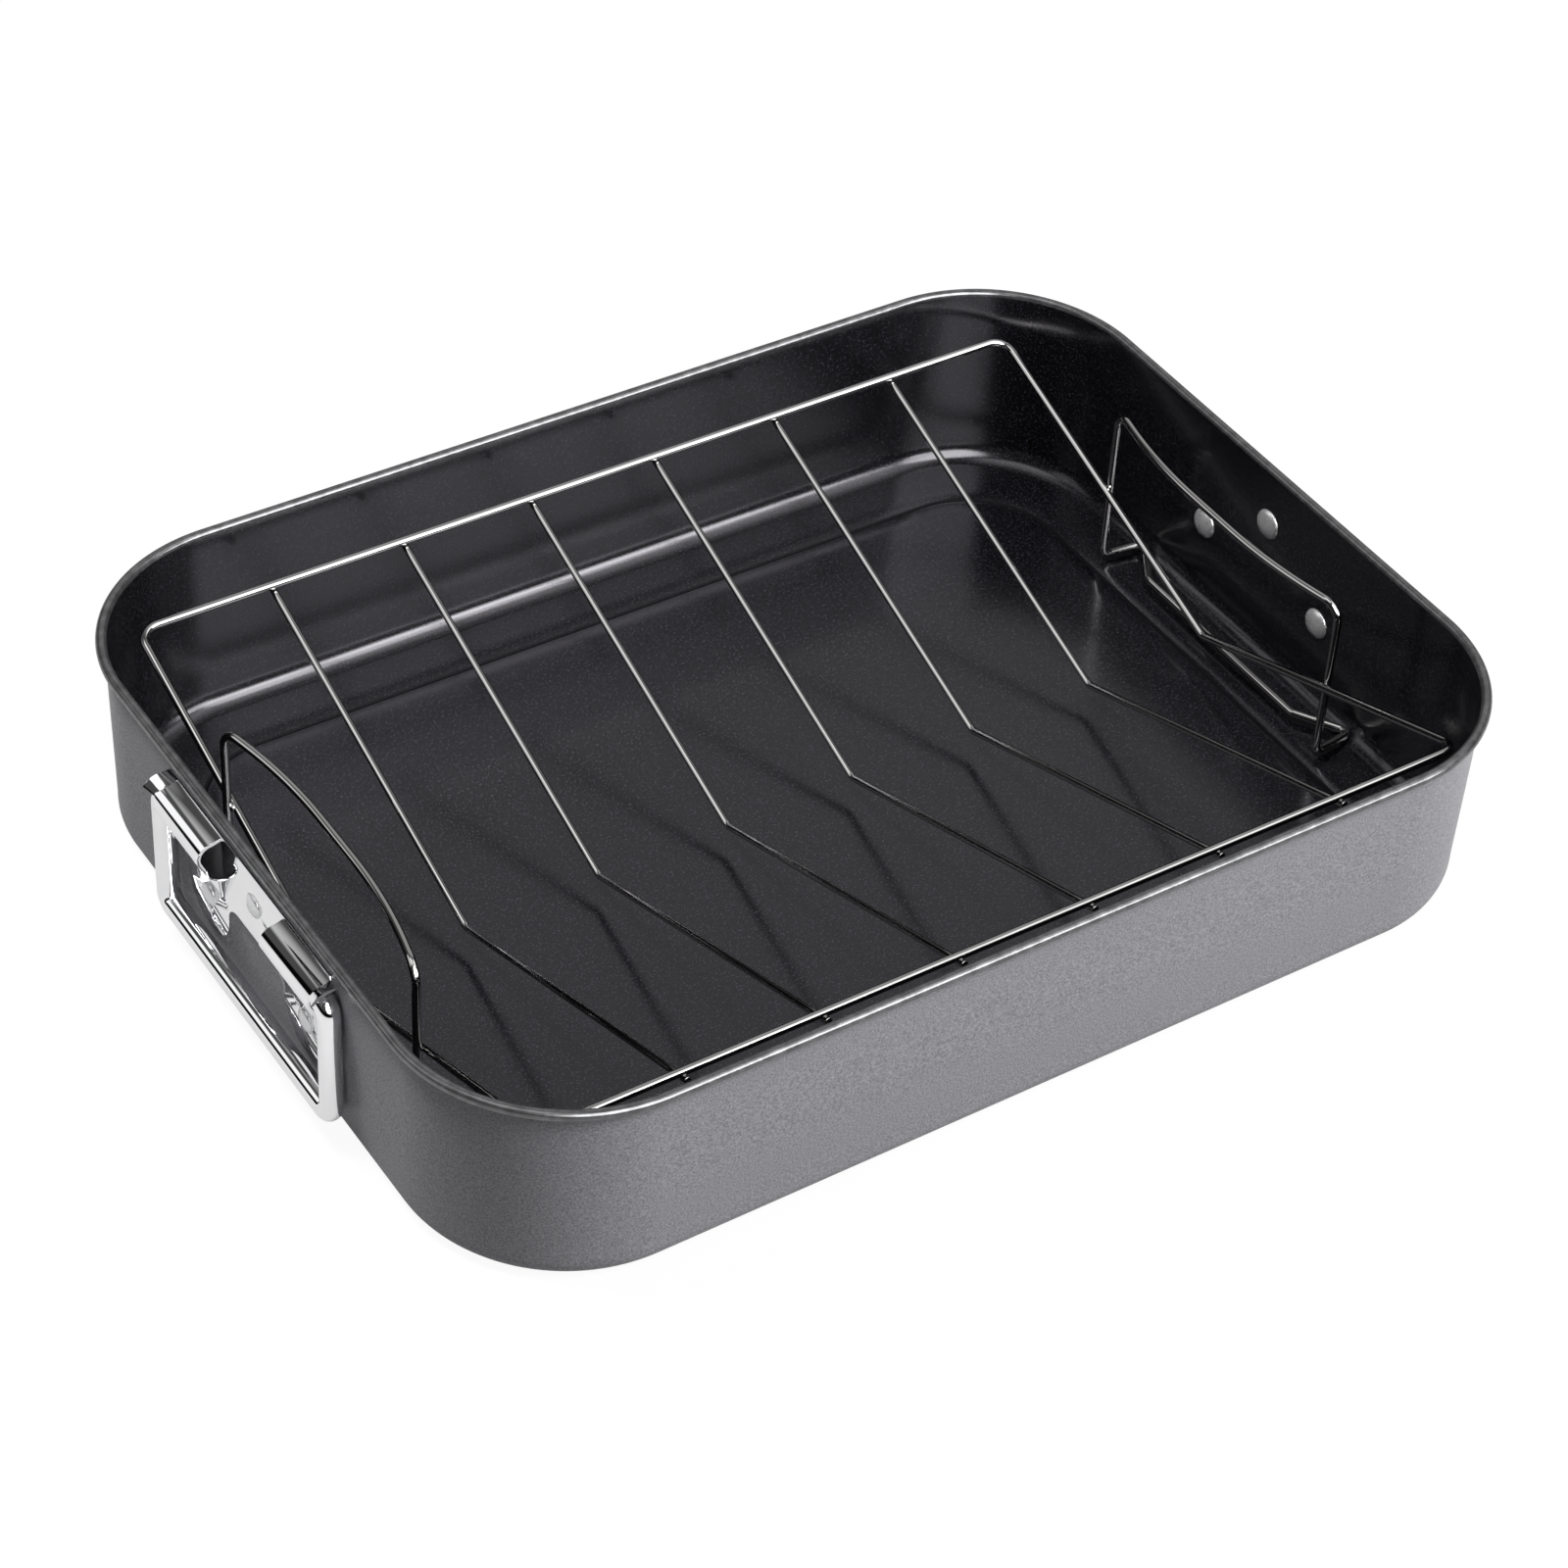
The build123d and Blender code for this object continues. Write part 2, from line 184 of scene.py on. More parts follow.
def grid_mesh(name, points, closed=False, slots=None):
    """A mesh from rings of points [ring, place, xyz]: quads join each ring to the next.

    A closed run joins its last ring to its first. Any other has one flat face over each end."""
    rings, places = points.shape[:2]
    v, u = np.meshgrid(np.arange(rings if closed else rings - 1), np.arange(places), indexing="ij")
    next_v, next_u = (v + 1) % rings, (u + 1) % places
    corners = [v * places + u, v * places + next_u, next_v * places + next_u, next_v * places + u]
    faces = np.stack(corners, -1).reshape(-1, 4).tolist()
    kinds = [0] * len(faces) if slots is None else np.repeat(slots[: len(v)], places).tolist()
    if not closed:
        faces.append(list(range(places))[::-1])
        faces.append(list(range((rings - 1) * places, rings * places)))
        kinds += [kinds[0], kinds[-1]]
    mesh = bpy.data.meshes.new(name)
    mesh.from_pydata(points.reshape(-1, 3).tolist(), [], faces)
    mesh.polygons.foreach_set("use_smooth", np.ones(len(faces), bool))
    mesh.polygons.foreach_set("material_index", np.asarray(kinds, np.int32))
    mesh.update()
    return mesh


def add_piece(name, mesh, body, finishes, node):
    """Links a mesh as a piece that rides on a body, has a slot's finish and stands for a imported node."""
    piece = bpy.data.objects.new(name, mesh)
    bpy.context.scene.collection.objects.link(piece)
    for finish in finishes:
        mesh.materials.append(material_of(finish))
    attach(piece, body)
    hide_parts(node)


def arc(centre, radius, start, end, count):
    """Points of an arc in a plane, from one angle to another in degrees: centre + radius (cos a, sin a)."""
    angles = np.radians(np.linspace(start, end, count))
    return np.stack([centre[0] + radius * np.cos(angles), centre[1] + radius * np.sin(angles)], -1)


def corner_ring():
    """The angles and corner signs round a rounded rectangle, counter-clockwise: the angles run over a
    quarter while the signs stay, and then the signs run to the next corner's while the angle stays."""
    angles, signs = [], []
    corner_signs = [(1, 1), (-1, 1), (-1, -1), (1, -1)]
    share = np.linspace(0, 1, SIDE_STEPS + 2)[1:-1, None]
    for k, sign in enumerate(corner_signs):
        following = np.array(corner_signs[(k + 1) % 4])
        angles.append(np.radians(np.linspace(90 * k, 90 * (k + 1), CORNER_STEPS)))
        signs.append(np.repeat([sign], CORNER_STEPS, 0))
        angles.append(np.full(SIDE_STEPS, math.radians(90 * (k + 1))))
        signs.append(np.array(sign) * (1 - share) + following * share)
    return np.concatenate(angles), np.concatenate(signs).astype(float)


def rounded_rings(cores, radii, heights):
    """Rounded rectangles stacked into a surface: signs x core + radius (cos a, sin a), each at its height."""
    angles, signs = corner_ring()
    around = np.stack([np.cos(angles), np.sin(angles)], -1)
    plan = signs[None] * cores[:, None] + around[None] * radii[:, None, None]
    return np.concatenate([plan, np.repeat(heights[:, None, None], len(angles), 1)], -1)


def bent_wire(corners, bends, step):
    """Points along a wire that runs straight between corners and turns at each on an arc of its radius:
    centre + radius (sin a C - cos a I), with a from nothing to the whole turn, where C is the way that
    the wire comes and I points square to it towards the centre."""
    corners = np.asarray(corners, float)
    path = [corners[:1]]
    for k, radius in enumerate(bends):
        before, here, after = corners[k : k + 3]
        come = (here - before) / np.linalg.norm(here - before)
        go = (after - here) / np.linalg.norm(after - here)
        turn = math.acos(np.clip(come @ go, -1, 1))
        if turn < STRAIGHT:
            path.append(here[None])
            continue
        inward = go - come * (come @ go)
        inward /= np.linalg.norm(inward)
        centre = here - come * radius * math.tan(turn / 2) + inward * radius
        count = max(LEAST_BEND_STEPS, int(radius * turn / step))
        a = np.linspace(0, turn, count)[:, None]
        path.append(centre + radius * (np.sin(a) * come - np.cos(a) * inward))
    path.append(corners[-1:])
    return np.concatenate(path)


def wire_path(corners, bends, bend_step, longest_step):
    """A bent wire's points, with its straight runs divided evenly, so that no step is too long."""
    path = bent_wire(corners, bends, bend_step)
    steps = np.linalg.norm(np.diff(path, axis=0), axis=1)
    counts = np.maximum(1, np.ceil(steps / longest_step).astype(int))
    share = np.concatenate([np.arange(c) / c for c in counts])
    index = np.repeat(np.arange(len(counts)), counts)
    points = path[index] + share[:, None] * (path[index + 1] - path[index])
    return np.concatenate([points, path[-1:]])


def tube_rings(path, radius, lean, closed, sides):
    """Circles square to a path: path point + radius (cos a N + sin a B), where N is square to the path
    and to a lean, and B is square to the path and to N."""
    if closed:
        ahead = np.roll(path, -1, 0) - path
        behind = path - np.roll(path, 1, 0)
    else:
        ahead = np.diff(path, axis=0, append=2 * path[-1:] - path[-2:-1])
        behind = np.diff(path, axis=0, prepend=2 * path[:1] - path[1:2])
    ahead /= np.linalg.norm(ahead, axis=1, keepdims=True)
    behind /= np.linalg.norm(behind, axis=1, keepdims=True)
    tangent = ahead + behind
    tangent /= np.linalg.norm(tangent, axis=1, keepdims=True)
    normal = np.cross(tangent, np.asarray(lean, float))
    normal /= np.linalg.norm(normal, axis=1, keepdims=True)
    binormal = np.cross(tangent, normal)
    radius = np.broadcast_to(radius, (len(path),))
    a = np.linspace(0, 2 * np.pi, sides, endpoint=False)
    wheel = np.cos(a)[None, :, None] * normal[:, None] + np.sin(a)[None, :, None] * binormal[:, None]
    return path[:, None] + radius[:, None, None] * wheel


def closed_tube(name, path, radius, lean):
    """A tube whose path returns to its start."""
    return grid_mesh(name, tube_rings(path, radius, lean, True, WIRE_SIDES), closed=True)


def rod_tube(name, path, radius, lean, edge, sides):
    """A tube with softened flat ends: at each end its radius falls by edge (1 - cos a) as it runs edge
    sin a on."""
    first, last = path[0] - path[1], path[-1] - path[-2]
    first, last = first / np.linalg.norm(first), last / np.linalg.norm(last)
    a = np.linspace(0, np.pi / 2, END_RINGS)[:, None]
    start = path[0] - first * edge + first * edge * np.sin(a[::-1])
    finish = path[-1] - last * edge + last * edge * np.sin(a)
    fall = edge * (1 - np.cos(a[:, 0]))
    line = np.concatenate([start, path[1:-1], finish])
    radii = np.concatenate([radius - fall[::-1], np.full(len(path) - 2, radius), radius - fall])
    return grid_mesh(name, tube_rings(line, radii, lean, False, sides))


def foot_inset():
    """How far the foot of a wall's outer face lies in from the outside of the rim."""
    s = sizes()
    return 2 * s.bead - s.sheet + s.draft


def on_wall(side, along, up, out):
    """Points given along an end wall, up it and out of it: foot + along A + up U + out N, which lean
    as the wall does."""
    s = sizes()
    foot = PAN_TOP.x - foot_inset()
    lean = math.atan2(s.draft, PAN_TOP.z - s.bead)
    x = side * (foot + np.asarray(up) * math.sin(lean) + np.asarray(out) * math.cos(lean))
    y = side * np.asarray(along)
    z = np.asarray(up) * math.cos(lean) - np.asarray(out) * math.sin(lean)
    return np.stack(np.broadcast_arrays(x, y, z), -1)


# Materials

# Where most of a noise's values lie
NOISE_SPAN = (0.3, 0.7)


def new_material(name):
    """A material with its node tree, its Principled shader and the object's own coordinates."""
    material = bpy.data.materials.new(name)
    material.use_nodes = True
    tree = material.node_tree
    coords = tree.nodes.new("ShaderNodeTexCoord")
    return material, tree, tree.nodes["Principled BSDF"], coords.outputs["Object"]


def noise(tree, coords, scale, detail=2.0, roughness=0.5):
    """A noise over the coordinates, from 0 to 1."""
    texture = tree.nodes.new("ShaderNodeTexNoise")
    texture.inputs["Scale"].default_value = scale
    texture.inputs["Detail"].default_value = detail
    texture.inputs["Roughness"].default_value = roughness
    tree.links.new(coords, texture.inputs["Vector"])
    return texture.outputs["Fac"]


def remap(tree, value, span, result):
    """A value's span, from low to high, stretched or squeezed to a result's, and held at its ends."""
    node = tree.nodes.new("ShaderNodeMapRange")
    for name, number in zip(("From Min", "From Max", "To Min", "To Max"), (*span, *result)):
        node.inputs[name].default_value = number
    tree.links.new(value, node.inputs["Value"])
    return node.outputs["Result"]


def mix_colour(tree, factor, first, second):
    """The first colour where the factor is nothing, and the second where it is one."""
    node = tree.nodes.new("ShaderNodeMix")
    node.data_type = "RGBA"
    tree.links.new(factor, node.inputs["Factor"])
    node.inputs["A"].default_value = (*first, 1)
    node.inputs["B"].default_value = (*second, 1)
    return node.outputs["Result"]


def shade(base, factor):
    """A colour made darker or lighter, kept between black and white."""
    return tuple(max(0.0, min(1.0, channel * factor)) for channel in base)


def paint(tree, shader, pattern, base, dark, light):
    """Colours the surface between two shades of its base, as a pattern goes from nothing to one."""
    painted = mix_colour(tree, pattern, shade(base, dark), shade(base, light))
    tree.links.new(painted, shader.inputs["Base Color"])


def roughen(tree, shader, pattern, span, rough):
    """Spreads a pattern's span over a range of roughness."""
    tree.links.new(remap(tree, pattern, span, rough), shader.inputs["Roughness"])


def emboss(tree, shader, pattern, strength, height):
    """Raises the surface by a pattern times a height, in metres."""
    node = tree.nodes.new("ShaderNodeBump")
    node.inputs["Strength"].default_value = strength
    node.inputs["Distance"].default_value = height
    tree.links.new(pattern, node.inputs["Height"])
    tree.links.new(node.outputs["Normal"], shader.inputs["Normal"])


def speckled_coat():
    """The grey coat outside the pan: fine metallic flake in a satin binder."""
    material, tree, shader, coords = new_material("speckled_grey_coat")
    flake = noise(tree, coords, scale=1500, detail=3.0, roughness=0.65)
    spread = remap(tree, flake, span=(0.35, 0.68), result=(0.0, 1.0))
    cloud = noise(tree, coords, scale=22)
    paint(tree, shader, spread, colours().outside, dark=0.64, light=1.42)
    roughen(tree, shader, cloud, NOISE_SPAN, rough=(0.40, 0.48))
    emboss(tree, shader, flake, strength=0.10, height=0.2 * MM)
    shader.inputs["Specular IOR Level"].default_value = 0.2
    return material


def nonstick_lining():
    """The near-black lining: glossy, with a fine dust of lighter flake and a faint orange peel."""
    material, tree, shader, coords = new_material("black_nonstick_lining")
    flake = noise(tree, coords, scale=1300, roughness=0.7)
    dust = remap(tree, flake, span=(0.54, 0.66), result=(0.0, 1.0))
    cloud = noise(tree, coords, scale=14, detail=3.0)
    peel = noise(tree, coords, scale=420)
    paint(tree, shader, dust, colours().lining, dark=0.6, light=5.5)
    roughen(tree, shader, cloud, NOISE_SPAN, rough=(0.17, 0.22))
    emboss(tree, shader, peel, strength=0.05, height=0.3 * MM)
    shader.inputs["Specular IOR Level"].default_value = 0.62
    shader.inputs["Specular Tint"].default_value = (0.96, 0.94, 1.0, 1)
    return material


def rubbed_rim():
    """The rolled rim: the lining's dark coat, rubbed thin and shiny over the curl."""
    material, tree, shader, coords = new_material("rubbed_rim_coat")
    rub = noise(tree, coords, scale=240, detail=4.0, roughness=0.65)
    worn = remap(tree, rub, span=(0.35, 0.7), result=(0.0, 1.0))
    paint(tree, shader, worn, colours().rim, dark=0.7, light=1.3)
    roughen(tree, shader, rub, NOISE_SPAN, rough=(0.20, 0.26))
    emboss(tree, shader, rub, strength=0.05, height=0.2 * MM)
    shader.inputs["Metallic"].default_value = 0.7
    return material


def painted_shade_line():
    """The stamped line in the floor: the lining painted darker in the groove as painted shade, and rough and
    dull.
    """
    material, tree, shader, coords = new_material("painted_shade_line_coat")
    shade_speckle = noise(tree, coords, scale=600)
    # painted shade: the groove's lining is coloured 0.4 to 0.8 as bright as the lining, in a fine speckle
    paint(tree, shader, shade_speckle, colours().lining, dark=0.4, light=0.8)
    shader.inputs["Roughness"].default_value = 0.6
    shader.inputs["Specular IOR Level"].default_value = 0.1
    return material


def plated_chrome(name, base, rough, ripple_strength):
    """Bright chrome plate: a slow ripple in the polish, and fine scratches that only show in the gloss."""
    material, tree, shader, coords = new_material(name)
    ripple = noise(tree, coords, scale=60)
    scratch = noise(tree, coords, scale=900, detail=4.0, roughness=0.7)
    paint(tree, shader, ripple, base, dark=0.94, light=1.04)
    roughen(tree, shader, scratch, (0.35, 0.75), rough)
    emboss(tree, shader, ripple, ripple_strength, height=0.6 * MM)
    shader.inputs["Metallic"].default_value = 1.0
    return material


def bracket_chrome():
    """The brackets' and bails' mirror plate."""
    return plated_chrome("polished_chrome_plate", colours().chrome, rough=(0.03, 0.08), ripple_strength=0.008)


def wire_chrome():
    """The rack wire's plate, drawn a little rougher and wavier than the handles'."""
    return plated_chrome("chrome_plated_wire", colours().wire, rough=(0.05, 0.11), ripple_strength=0.05)


def rivet_metal():
    """Satin rivet heads with small dents from setting."""
    material, tree, shader, coords = new_material("satin_rivet_metal")
    dent = noise(tree, coords, scale=350)
    paint(tree, shader, dent, colours().rivet, dark=0.85, light=1.08)
    roughen(tree, shader, dent, NOISE_SPAN, rough=(0.26, 0.36))
    emboss(tree, shader, dent, strength=0.25, height=0.4 * MM)
    shader.inputs["Metallic"].default_value = 0.72
    return material


FINISHES = {
    "coat": speckled_coat,
    "lining": nonstick_lining,
    "rim": rubbed_rim,
    "line": painted_shade_line,
    "chrome": bracket_chrome,
    "wire": wire_chrome,
    "rivet": rivet_metal,
}
# The materials made so far
MATERIALS = {}


def material_of(finish):
    """Each finish, made once and shared by the pieces that have it."""
    if finish not in MATERIALS:
        MATERIALS[finish] = FINISHES[finish]()
    return MATERIALS[finish]


# Pan

# The pan's finishes, in the order of its slots
PAN_FINISHES = ("coat", "lining", "rim", "line")
COAT, LINING, RIM, LINE = range(len(PAN_FINISHES))
# Rings of the flat underside and of the floor on both sides of the line, as distances in from the wall's foot
UNDERSIDE_RINGS = np.array([100, 60, 30, 14]) * MM
FLOOR_RINGS_TO_LINE = np.array([12, 18]) * MM
FLOOR_RINGS_PAST_LINE = np.array([34, 60, 100]) * MM
# Rings over the floor edge, up the wall, and over both faces of the curl
EDGE_RINGS = 14
WALL_RINGS = 25
CURL_INSIDE_RINGS = 22
CURL_OUTSIDE_RINGS = 34
# The angle at which the curl's edge stops, in degrees
CURL_END = -110
# The line's softened lips, as a share of its width, and the shoulders of its sides, as a share of its depth
LINE_LIP_SHARE = 0.22
LINE_SHOULDER_SHARE = 0.35
# The least corner radius of a ring near the middle of the floor
LEAST_CORNER = 6 * MM


def floor_profile(sheet):
    """The floor's upper face from wall to middle, in three runs: to the stamped line, across it, past it."""
    s = sizes()
    start = -sheet - s.line_inset
    end = start - s.line_width
    lip = s.line_width * LINE_LIP_SHARE
    shoulder = sheet - s.line_depth * LINE_SHOULDER_SHARE
    to_line = np.stack([-FLOOR_RINGS_TO_LINE, np.full(len(FLOOR_RINGS_TO_LINE), sheet)], -1)
    across = np.array(
        [
            [start + lip, sheet],
            [start, shoulder],
            [start - lip, sheet - s.line_depth],
            [end + lip, sheet - s.line_depth],
            [end, shoulder],
            [end - lip, sheet],
        ]
    )
    past_line = np.stack([-FLOOR_RINGS_PAST_LINE, np.full(len(FLOOR_RINGS_PAST_LINE), sheet)], -1)
    return to_line, across, past_line


def pan_profile():
    """The sheet's section, from underside to floor: distances out from the wall's foot, heights, finishes.

    Outside: underside, floor edge arc, and wall, out = draft x height / wall height. Rim: the sheet's
    outer face turns into the inside of the curl, round its edge, and back over the outside of the curl.
    Inside: the wall and the arc one sheet further in, and the floor with its stamped line."""
    s = sizes()
    wall_top = PAN_TOP.z - s.bead
    lean = math.atan2(s.draft, wall_top)
    edge, sheet, bead = s.floor_edge, s.sheet, s.bead
    # the floor edge arc meets the leaning wall square, so its centre sits a little further out
    edge_centre = (edge * math.sin(lean) + s.draft * edge / wall_top - edge, edge)
    curl_centre = (s.draft - sheet + bead, wall_top)
    wall_z = np.linspace(edge, wall_top, WALL_RINGS + 1)
    wall_out = s.draft * wall_z / wall_top

    under = np.stack([-UNDERSIDE_RINGS, np.zeros(len(UNDERSIDE_RINGS))], -1)
    outer_arc = arc(edge_centre, edge, -90, 0, EDGE_RINGS)
    outer_wall = np.stack([wall_out, wall_z], -1)[1:]
    curl_inside = arc(curl_centre, bead - sheet, 180, CURL_END, CURL_INSIDE_RINGS)[1:]
    curl_outside = arc(curl_centre, bead, CURL_END, 180, CURL_OUTSIDE_RINGS)
    inner_wall = np.stack([wall_out - sheet, wall_z], -1)[-2::-1]
    inner_arc = arc(edge_centre, edge - sheet, 0, -90, EDGE_RINGS)[1:]
    to_line, across_line, past_line = floor_profile(sheet)

    outside = np.concatenate([under, outer_arc, outer_wall, curl_inside])
    inside = np.concatenate([inner_wall, inner_arc, to_line, across_line, past_line])
    profile = np.concatenate([outside, curl_outside, inside])
    rim_start = len(outside) - 1
    line_start = len(profile) - len(past_line) - len(across_line)
    finishes = np.full(len(profile), LINING)
    finishes[:rim_start] = COAT
    finishes[rim_start : rim_start + len(curl_outside)] = RIM
    finishes[line_start : line_start + len(across_line) - 1] = LINE
    return profile[:, 0], profile[:, 1], finishes


class ROASTER_OT_pan(bpy.types.Operator):
    """Make the drawn pan with its rolled rim and stamped floor line"""

    bl_idname = "roaster.pan"
    bl_label = "Pan"

    def execute(self, context):
        s = sizes()
        corner = s.rim_corner - foot_inset()
        core = np.array(PAN_TOP.xy) - foot_inset() - corner
        out, heights, finishes = pan_profile()
        # From the floor's first ring to the line, the corner radius goes over from the pan's to the line's.
        # What it gains, the core loses, and so it is for the rings that are kept at the least radius.
        line = -s.sheet - s.line_inset
        flat_start = FLOOR_RINGS_TO_LINE[0]
        share = np.clip((-out - flat_start) / (-line - flat_start), 0, 1)
        gain = share * (s.line_corner - (corner + line))
        radii = np.maximum(corner + out + gain, LEAST_CORNER)
        cores = core[None] - (radii - corner - out)[:, None]
        mesh = grid_mesh("pan_shell", rounded_rings(cores, radii, heights), slots=finishes)
        add_piece("pan_shell", mesh, "pan_body", PAN_FINISHES, "pan")
        return {"FINISHED"}


# Rack

# The leans that the circles of the frame's and the end loops' tubes are turned from: never along the wire
FRAME_LEAN = (0.0, 0.30, 0.95)
LOOP_LEAN = (1, 1, 1)


def rack_lines():
    """Wire centres of the rack's frame, from its imported box: y and z of the rails, x of the ends, and z of
    the V's bottom."""
    s = sizes()
    rail_y, rail_z, end_x = (side - s.frame_wire for side in (RAIL_TOP.y, RAIL_TOP.z, RAIL_TOP.x))
    return rail_y, rail_z, end_x, rail_z - s.vee_depth


class ROASTER_OT_rack_frame(bpy.types.Operator):
    """Make the rack's frame wire"""

    bl_idname = "roaster.rack_frame"
    bl_label = "Rack frame"

    def execute(self, context):
        s = sizes()
        rail_y, rail_z, end_x, vee_z = rack_lines()
        corners = [
            (0, rail_y, rail_z),
            (end_x, rail_y, rail_z),
            (end_x, 0, vee_z),
            (end_x, -rail_y, rail_z),
            (-end_x, -rail_y, rail_z),
            (-end_x, 0, vee_z),
            (-end_x, rail_y, rail_z),
            (0, rail_y, rail_z),
        ]
        bends = [s.rail_bend, s.vee_bend, s.rail_bend] * 2
        path = wire_path(corners, bends, bend_step=0.8 * MM, longest_step=12 * MM)[:-1]
        mesh = closed_tube("rack_frame_wire", path, s.frame_wire, FRAME_LEAN)
        add_piece("rack_frame_wire", mesh, "rack", ["wire"], "rack_frame")
        return {"FINISHED"}


class ROASTER_OT_rack_ribs(bpy.types.Operator):
    """Make the rack's V-shaped ribs"""

    bl_idname = "roaster.rack_ribs"
    bl_label = "Rack ribs"

    def execute(self, context):
        s = sizes()
        rail_y, _, _, vee_z = rack_lines()
        slope = s.vee_depth / rail_y
        bottom = vee_z - (s.frame_wire + s.rib_wire - s.weld_bite) / math.cos(math.atan(slope))
        tip_y = rail_y + s.frame_wire + s.rib_overhang
        tip_z = bottom + slope * tip_y
        for name in sorted(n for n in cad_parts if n.startswith("rack_rib_")):
            lo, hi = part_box(name)
            x = (lo.x + hi.x) / 2
            corners = [(x, -tip_y, tip_z), (x, 0, bottom), (x, tip_y, tip_z)]
            path = wire_path(corners, [s.vee_bend], bend_step=0.5 * MM, longest_step=12 * MM)
            mesh = rod_tube(name + "_wire", path, s.rib_wire, ACROSS, s.rib_end_edge, WIRE_SIDES)
            add_piece(name + "_wire", mesh, "rack", ["wire"], name)
        return {"FINISHED"}


class ROASTER_OT_rack_ends(bpy.types.Operator):
    """Make the closed loops at the ends of the rack, with grip, legs and foot"""

    bl_idname = "roaster.rack_ends"
    bl_label = "Rack end loops"

    def execute(self, context):
        s = sizes()
        for end, side in ENDS.items():
            node, name = "rack_end_" + end, "rack_end_wire_" + end
            lo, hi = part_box(node)
            grip_z, foot_z = hi.z - s.end_wire, lo.z + s.end_wire
            toe_x = max(abs(lo.x), abs(hi.x)) - s.end_wire
            leg_x, leg_y = toe_x - s.leg_setback, hi.y - s.end_wire
            bow_x = leg_x - s.grip_bow
            half = [
                (bow_x, leg_y / 2, grip_z),
                (leg_x, leg_y, grip_z),
                (leg_x, leg_y, foot_z),
                (toe_x, leg_y - s.toe_outer, foot_z),
                (toe_x, leg_y - s.toe_inner, foot_z),
                (toe_x - s.foot_bar_setback, s.foot_bar_half, foot_z),
            ]
            bends = [s.grip_bow_bend, s.grip_bend, s.foot_bend, s.toe_bend, s.toe_bend, s.foot_bar_bend]
            middle = [(bow_x, 0, grip_z)]
            corners = middle + half + [(x, -y, z) for x, y, z in half[::-1]] + middle
            path = wire_path(corners, bends + bends[::-1], bend_step=0.5 * MM, longest_step=8 * MM)[:-1]
            mesh = closed_tube(name, path * [side, 1, 1], s.end_wire, LOOP_LEAN)
            if side < 0:
                mesh.flip_normals()
            add_piece(name, mesh, "rack", ["wire"], node)
        return {"FINISHED"}


# Handles

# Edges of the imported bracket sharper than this, in degrees, are rounded, and a little less stays a crease
SHARP_ANGLE = 40
CREASE_ANGLE = 38
# Points nearer than this, in metres, are merged, and facets that differ by less, in degrees, are joined
MERGE_DISTANCE = 1e-6
FLAT_ANGLE = 0.6
# Facets over a rounded edge, and how full its curve is
EDGE_SEGMENTS = 3
EDGE_FULLNESS = 0.6
# Rings up and round a hood's web, its thickness as a share of the bracket's sheet, how deep its curve
# runs as a share of its reach, and the least reach
WEB_RINGS = 14
WEB_PLACES = 12
WEB_SHEET_SHARE = 0.7
WEB_CURVE_SHARE = 0.8
LEAST_WEB_REACH = 0.05 * MM
# Rings over a rivet's dome, places round it, and the power that flattens the dome's sides
DOME_RINGS = 16
RIVET_PLACES = 40
DOME_POWER = 1.15


class ROASTER_OT_bails(bpy.types.Operator):
    """Make the two drop bails"""

    bl_idname = "roaster.bails"
    bl_label = "Bails"

    def execute(self, context):
        s = sizes()
        for end in ENDS:
            lo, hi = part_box(end + "_bail")
            x = (lo.x + hi.x) / 2
            low, high = lo.z + s.bail_bar, hi.z - s.bail_bar
            leg_y = hi.y - s.bail_bar
            half = [(x, s.bail_tip, high), (x, leg_y, high), (x, leg_y, low)]
            corners = half + [(x, -y, z) for x, y, z in half[::-1]]
            path = wire_path(corners, [s.bail_bend] * 4, bend_step=0.5 * MM, longest_step=6 * MM)
            mesh = rod_tube(end + "_bail_bar", path, s.bail_bar, ACROSS, s.bail_end_edge, BAIL_SIDES)
            add_piece(end + "_bail_bar", mesh, end + "_handle", ["chrome"], end + "_bail")
        return {"FINISHED"}


def softened_copy(node, name, edge):
    """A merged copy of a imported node: flat facets joined, and every sharp edge rounded a little."""
    mesh = node.data.copy()
    mesh.name = name
    mesh.materials.clear()
    work = bmesh.new()
    work.from_mesh(mesh)
    bmesh.ops.remove_doubles(work, verts=work.verts, dist=MERGE_DISTANCE)
    bmesh.ops.dissolve_limit(work, angle_limit=math.radians(FLAT_ANGLE), verts=work.verts, edges=work.edges)
    inner = [e for e in work.edges if len(e.link_faces) == 2]
    sharp = [e for e in inner if e.calc_face_angle(0) > math.radians(SHARP_ANGLE)]
    bmesh.ops.bevel(
        work,
        geom=sharp,
        offset=edge,
        segments=EDGE_SEGMENTS,
        profile=EDGE_FULLNESS,
        affect="EDGES",
        clamp_overlap=True,
    )
    for face in work.faces:
        face.smooth = True
    for e in work.edges:
        e.smooth = len(e.link_faces) != 2 or e.calc_face_angle(0) < math.radians(CREASE_ANGLE)
    work.to_mesh(mesh)
    work.free()
    return mesh


def pitch_roofs(mesh, side):
    """Pitches the hoods' flat roofs: up by pitch x (1 - distance out / distance of the hinge)."""
    s = sizes()
    points = np.empty(len(mesh.vertices) * 3, np.float32)
    mesh.vertices.foreach_get("co", points)
    points = points.reshape(-1, 3)
    lo, hi = BAIL_BOX
    hinge_x, hinge_z = (lo.x + hi.x) / 2, hi.z - s.bail_bar
    out = side * points[:, 0] - (hinge_x - s.hinge_out)
    over_bail = (points[:, 2] > hinge_z + s.bail_bar) & (np.abs(points[:, 1]) > s.hood_start - s.roof_margin)
    lift = s.roof_pitch * np.clip(1 - out / s.hinge_out, 0, 1)
    points[:, 2] = np.minimum(points[:, 2] + np.where(over_bail, lift, 0), BRACKET_TOP.z)
    mesh.vertices.foreach_set("co", points.reshape(-1))
    mesh.update()


